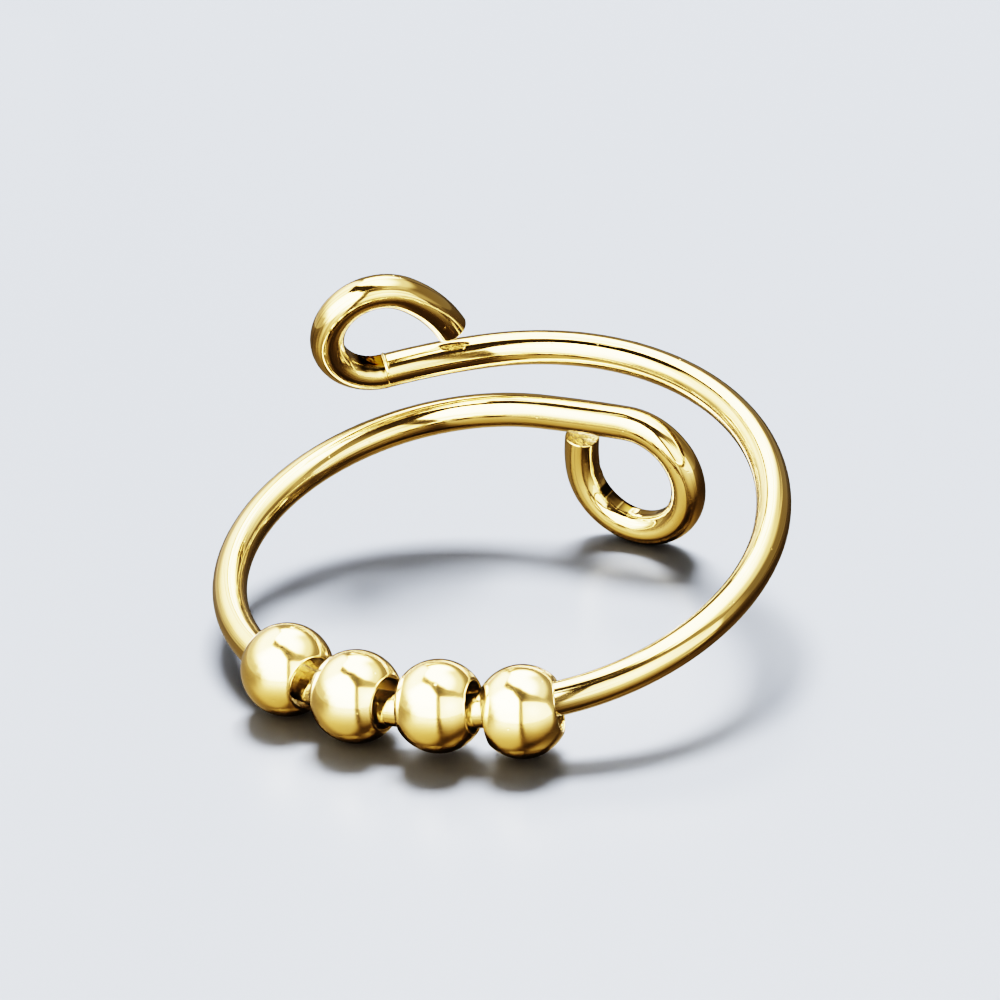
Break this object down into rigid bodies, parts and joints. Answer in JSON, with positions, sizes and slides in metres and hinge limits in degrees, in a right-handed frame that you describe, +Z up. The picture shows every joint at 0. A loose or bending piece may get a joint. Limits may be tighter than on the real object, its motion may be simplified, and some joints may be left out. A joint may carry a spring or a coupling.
{
  "type": "spinner ring",
  "caption": "Adjustable bypass ring of one round polished wire with an eye bent into each end and drilled ball beads that spin on its front",
  "frame": {"origin": "middle of the ring's outline as it lies on the floor, at floor level", "axes": "+Z up from the floor that the ring lies on; +Y from the beads at the front towards the crossing ends at the back; +X to the right as seen from the beads"},
  "size_m": [0.02, 0.0196, 0.0102],
  "materials": {
    "wire_gold": "mirror-polished yellow gold plating",
    "bead_gold": "mirror-polished yellow gold plating"
  },
  "bodies": {
    "band": {"wire": "wire_gold"},
    "ball_1": {"bead_1": "bead_gold"},
    "ball_2": {"bead_2": "bead_gold"},
    "ball_3": {"bead_3": "bead_gold"},
    "ball_4": {"bead_4": "bead_gold"}
  },
  "joints": [
    {"name": "bead_1_spin", "type": "hinge", "parent": "band", "child": "ball_1", "pos_m": [-0.00758, -0.00376, 0.0016], "axis": [0.5976, -0.8011, -0.0337], "continuous": true},
    {"name": "bead_2_spin", "type": "hinge", "parent": "band", "child": "ball_2", "pos_m": [-0.00531, -0.00604, 0.0016], "axis": [0.7989, -0.6005, 0.0337], "continuous": true},
    {"name": "bead_3_spin", "type": "hinge", "parent": "band", "child": "ball_3", "pos_m": [-0.00255, -0.00756, 0.00181], "axis": [0.9305, -0.3532, 0.0971], "continuous": true},
    {"name": "bead_4_spin", "type": "hinge", "parent": "band", "child": "ball_4", "pos_m": [0.00024, -0.0082, 0.0017], "axis": [0.9833, -0.1077, 0.1469], "continuous": true}
  ]
}
